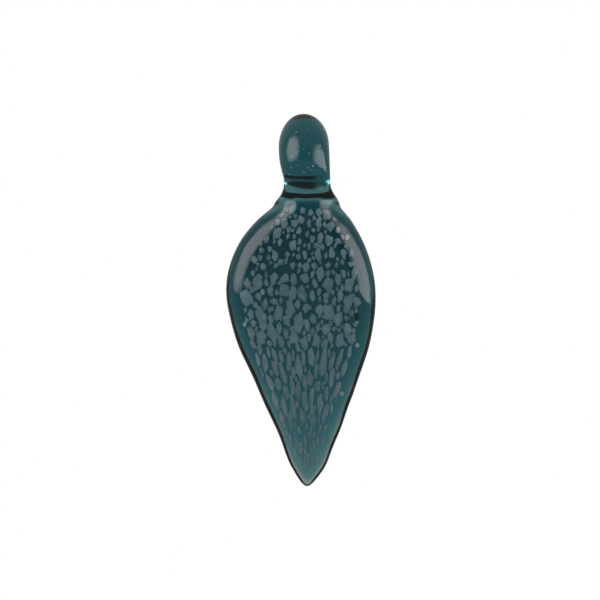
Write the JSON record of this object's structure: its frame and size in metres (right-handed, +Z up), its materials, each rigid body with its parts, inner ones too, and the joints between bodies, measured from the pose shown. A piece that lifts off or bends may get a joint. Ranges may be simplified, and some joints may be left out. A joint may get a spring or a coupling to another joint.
{
  "type": "glass leaf pendant",
  "caption": "Flattened teal glass leaf pendant with pale frit cased under a clear skin and a fused glass hanging loop bored side to side for a cord.",
  "frame": {"origin": "centre of the round hole through the hanging loop", "axes": "+Z up as the pendant hangs, +X along the hole, the decorated front faces -Y"},
  "size_m": [0.025, 0.014, 0.0621],
  "materials": {
    "teal_glass": "fire-polished transparent deep teal with a few seed bubbles",
    "frit_grey": "opaque matte grey frit under glass",
    "frit_pale": "opaque matte pale frit under glass",
    "inclusion_dark": "opaque dark speck under glass"
  },
  "bodies": {
    "root": {"leaf_base": "teal_glass", "leaf_cap": "teal_glass", "bail_loop": "teal_glass", "frit_crown_grains": "frit_grey", "frit_middle_grains": "frit_grey", "frit_drawn_streaks": "frit_grey", "frit_tip_streaks": "frit_grey", "frit_bright_specks": "frit_pale", "dark_inclusion": "inclusion_dark"}
  },
  "joints": []
}
